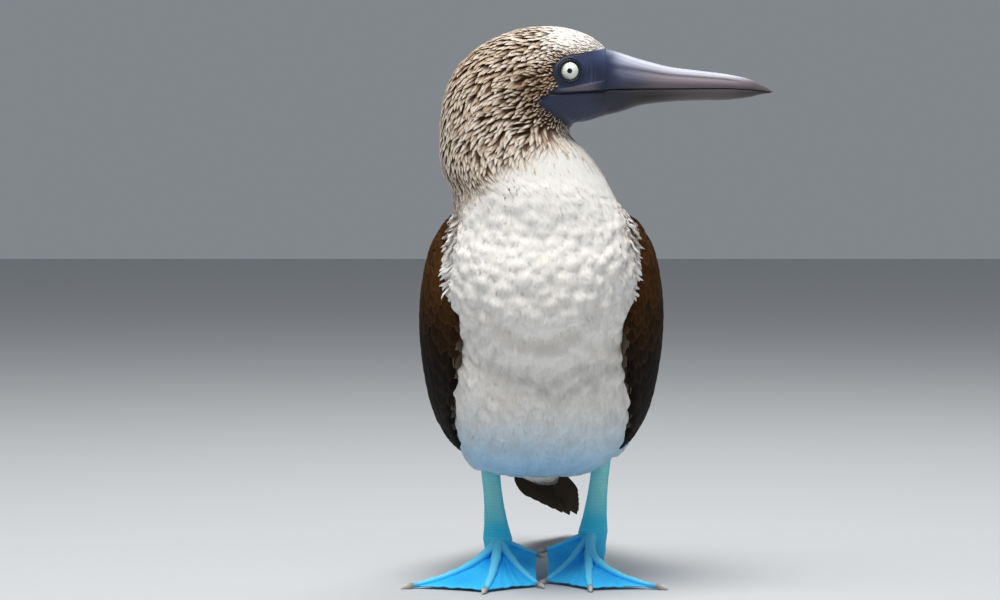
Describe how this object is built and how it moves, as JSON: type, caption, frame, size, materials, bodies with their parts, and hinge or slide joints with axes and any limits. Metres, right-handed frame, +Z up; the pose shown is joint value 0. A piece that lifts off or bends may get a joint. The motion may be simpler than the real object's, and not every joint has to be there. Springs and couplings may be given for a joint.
{
  "type": "blue-footed booby",
  "caption": "Life-size standing blue-footed booby with its wings folded, its head turned over one shoulder, a long tapered bill and broad webbed feet",
  "frame": {"origin": "on the floor, under the middle of the whole bird's box", "axes": "+Z up; -Y the way the breast faces; +X the bird's left, the way the turned head and bill point"},
  "size_m": [0.2328, 0.353, 0.3497],
  "materials": {
    "white_feathers": "soft matt body feathers",
    "buff_feathers": "narrow pale feathers over brown bases",
    "brown_feathers": "smooth flight feathers with a slight sheen",
    "dark_feathers": "stiff dark tail feathers",
    "slate_skin": "bare wrinkled skin",
    "bill_horn": "satin horn",
    "eye": "wet gloss",
    "shank_skin": "finely scaled skin",
    "web_skin": "smooth rubbery skin",
    "claw_horn": "dull horn"
  },
  "bodies": {
    "root": {"torso": "white_feathers", "neck": "buff_feathers", "head": "buff_feathers", "face": "slate_skin", "bill_upper": "bill_horn", "bill_lower": "bill_horn", "eye_left": "eye", "eye_right": "eye", "wing_left": "brown_feathers", "wing_right": "brown_feathers", "tail": "dark_feathers", "leg_left": "shank_skin", "leg_right": "shank_skin", "foot_left": "web_skin", "foot_right": "web_skin", "claw_left_1": "claw_horn", "claw_left_2": "claw_horn", "claw_left_3": "claw_horn", "claw_left_4": "claw_horn", "claw_right_1": "claw_horn", "claw_right_2": "claw_horn", "claw_right_3": "claw_horn", "claw_right_4": "claw_horn"}
  },
  "joints": []
}
